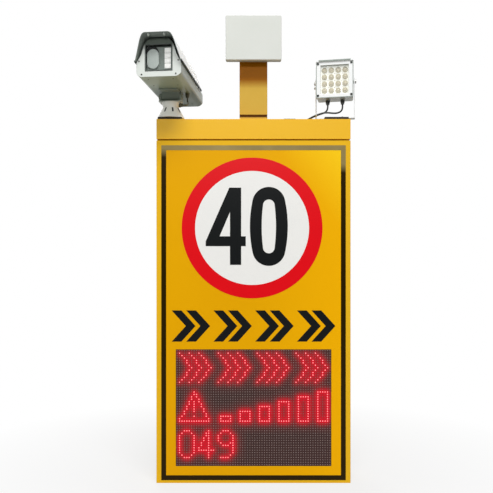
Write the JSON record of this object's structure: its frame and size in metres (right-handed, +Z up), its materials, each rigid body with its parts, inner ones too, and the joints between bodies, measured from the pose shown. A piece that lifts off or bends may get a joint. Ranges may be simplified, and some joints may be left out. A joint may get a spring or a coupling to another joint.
{
  "type": "radar speed sign",
  "caption": "Roadside radar speed sign: yellow cabinet with a speed limit face and LED display, topped by a radar sensor, a camera on a swivel bracket and a fill lamp.",
  "frame": {"origin": "middle of the cabinet's bottom, on the column flange's face", "axes": "+Z up, -Y out of the sign face, +X to the viewer's right"},
  "size_m": [0.9013, 0.5278, 1.921],
  "materials": {
    "yellow_paint": "satin powder coat",
    "black_film": "satin film",
    "red_film": "reflective film",
    "white_film": "reflective film",
    "display_mask": "matt moulded mask",
    "galvanised": "galvanised sheet",
    "bolt_steel": "zinc plated",
    "device_metal": "folded case",
    "device_plastic": "moulded case",
    "seal_rubber": "foam seal",
    "pad_rubber": "moulded pad",
    "radar_plastic": "moulded cover",
    "camera_paint": "satin powder coat",
    "bracket_paint": "satin powder coat",
    "window_glass": "clear pane",
    "camera_dark": "matt moulding",
    "lens_dark": "anodised barrel",
    "light_white": "diffuser",
    "lamp_metal": "silver powder coat",
    "lamp_glass": "clear pane",
    "lamp_board": "lensed emitters",
    "gland_nylon": "moulded nylon",
    "cable_rubber": "cable sheath",
    "lock_zinc": "plated die casting"
  },
  "bodies": {
    "cabinet": {"cabinet_shell": "yellow_paint", "front_panel": "yellow_paint", "riser_stub": "yellow_paint", "riser_post": "yellow_paint", "rear_frame": "yellow_paint", "border_film": "black_film", "numeral_film": "black_film", "chevron_film": "black_film", "ring_film": "red_film", "face_film": "white_film", "led_module_1": "display_mask", "led_module_2": "display_mask", "led_module_3": "display_mask", "led_module_4": "display_mask", "led_module_5": "display_mask", "led_module_6": "display_mask", "module_rails": "galvanised", "equipment_plate": "galvanised", "din_rail": "galvanised", "radar_bracket": "galvanised", "cabinet_bolts": "bolt_steel", "power_supplies": "device_metal", "speed_processor": "device_metal", "display_controller": "device_plastic", "circuit_breaker": "device_plastic", "surge_arrester": "device_plastic", "terminal_block": "device_plastic", "bracket_pads": "pad_rubber", "camera_base": "bracket_paint", "lamp_bracket": "lamp_metal", "cable_entry": "gland_nylon", "lamp_cable_left": "cable_rubber", "lamp_cable_right": "cable_rubber"},
    "rear_door": {"rear_door": "yellow_paint", "door_gasket": "seal_rubber", "hinge_door_halves": "yellow_paint", "lock_housings": "lock_zinc"},
    "lock_lower": {"lock_cam_lower": "lock_zinc"},
    "lock_upper": {"lock_cam_upper": "lock_zinc"},
    "radar": {"radar_case": "radar_plastic", "radar_cover": "radar_plastic"},
    "pan_head": {"camera_pan_head": "bracket_paint", "pan_head_gland": "gland_nylon", "camera_cable": "cable_rubber"},
    "camera": {"camera_saddle": "bracket_paint", "camera_housing": "camera_paint", "camera_front_plate": "camera_paint", "camera_rear_cap": "camera_paint", "camera_window": "window_glass", "camera_sunshield": "camera_paint", "camera_body": "camera_dark", "camera_lens": "lens_dark", "camera_light_bar": "light_white", "camera_gland": "gland_nylon"},
    "lamp": {"lamp_housing": "lamp_metal", "lamp_bezel": "lamp_metal", "lamp_glass": "lamp_glass", "lamp_board": "lamp_board", "lamp_glands": "gland_nylon", "lamp_pivots": "bolt_steel"}
  },
  "joints": [
    {"name": "rear_door_swing", "type": "hinge", "parent": "cabinet", "child": "rear_door", "pos_m": [-0.382, 0.097, 0.75], "axis": [0, 0, 1], "range_deg": [0, 110]},
    {"name": "lock_lower_turn", "type": "hinge", "parent": "rear_door", "child": "lock_lower", "pos_m": [0.33, 0.09, 0.45], "axis": [0, 1, 0], "range_deg": [0, 90]},
    {"name": "lock_upper_turn", "type": "hinge", "parent": "rear_door", "child": "lock_upper", "pos_m": [0.33, 0.09, 1.05], "axis": [0, 1, 0], "range_deg": [0, 90]},
    {"name": "radar_tilt", "type": "hinge", "parent": "cabinet", "child": "radar", "pos_m": [0, -0.0673, 1.83], "axis": [1, 0, 0], "range_deg": [-8, 8]},
    {"name": "camera_pan", "type": "hinge", "parent": "cabinet", "child": "pan_head", "pos_m": [-0.348, -0.02, 1.55], "axis": [0, 0, 1], "range_deg": [-45, 45]},
    {"name": "camera_tilt", "type": "hinge", "parent": "pan_head", "child": "camera", "pos_m": [-0.348, -0.02, 1.608], "axis": [0.994, -0.1097, 0], "range_deg": [-20, 25], "deforming": ["camera_cable"]},
    {"name": "lamp_tilt", "type": "hinge", "parent": "cabinet", "child": "lamp", "pos_m": [0.346, -0.02, 1.67], "axis": [0.9816, -0.1908, 0], "range_deg": [-30, 30], "deforming": ["lamp_cable_left", "lamp_cable_right"]}
  ]
}
